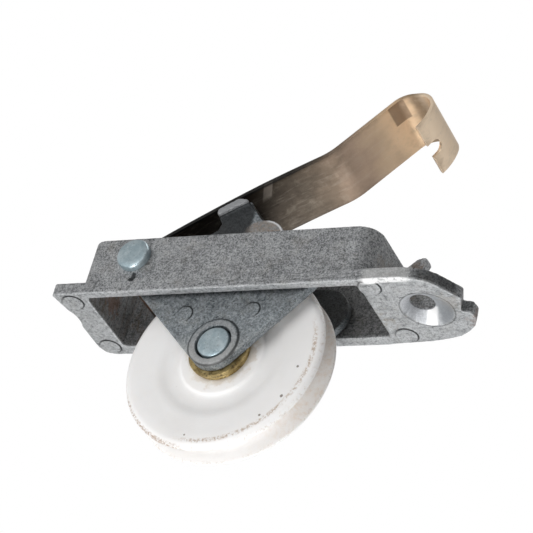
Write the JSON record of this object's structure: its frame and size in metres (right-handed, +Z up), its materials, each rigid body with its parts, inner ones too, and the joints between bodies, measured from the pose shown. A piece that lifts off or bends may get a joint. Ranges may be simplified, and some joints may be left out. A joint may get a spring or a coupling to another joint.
{
  "type": "sliding door roller",
  "caption": "Spring-loaded sliding door roller: grooved nylon wheel on a swinging die-cast carrier inside a channel housing, with a hooked leaf spring.",
  "frame": {"origin": "middle of the wheel: on the axle's centre line, halfway across the wheel's width", "axes": "+X along the housing towards the screw nose, +Y along the axle away from the rivet's head, +Z up from the wheel towards the door"},
  "size_m": [0.0659, 0.0185, 0.061],
  "materials": {
    "cast_zinc": "satin",
    "cast_zinc_dark": "satin",
    "spring_steel": "satin",
    "plated_steel": "satin",
    "white_nylon": "satin",
    "brass": "worn"
  },
  "bodies": {
    "housing": {"housing": "cast_zinc", "pivot_rivet": "plated_steel", "pivot_sleeve": "plated_steel"},
    "carrier": {"wheel_carrier": "cast_zinc_dark", "axle_pin": "plated_steel", "near_thrust_washer": "brass", "far_thrust_washer": "brass"},
    "wheel": {"wheel": "white_nylon", "hub_bushing": "brass"},
    "spring": {"leaf_spring": "spring_steel"}
  },
  "joints": [
    {"name": "carrier_swing", "type": "hinge", "parent": "housing", "child": "carrier", "pos_m": [-0.0167, 0, 0.01486], "axis": [0, -1, 0], "range_deg": [0, 24], "stiffness_Nm_per_rad": 0.15, "springref_deg": -5.73},
    {"name": "wheel_spin", "type": "hinge", "parent": "carrier", "child": "wheel", "pos_m": [0, 0, 0], "axis": [0, 1, 0], "continuous": true},
    {"name": "spring_lift", "type": "hinge", "parent": "carrier", "child": "spring", "pos_m": [-0.0167, 0, 0.01486], "axis": [0, -1, 0], "range_deg": [0, 20], "stiffness_Nm_per_rad": 0.05, "springref_deg": -5.73}
  ]
}
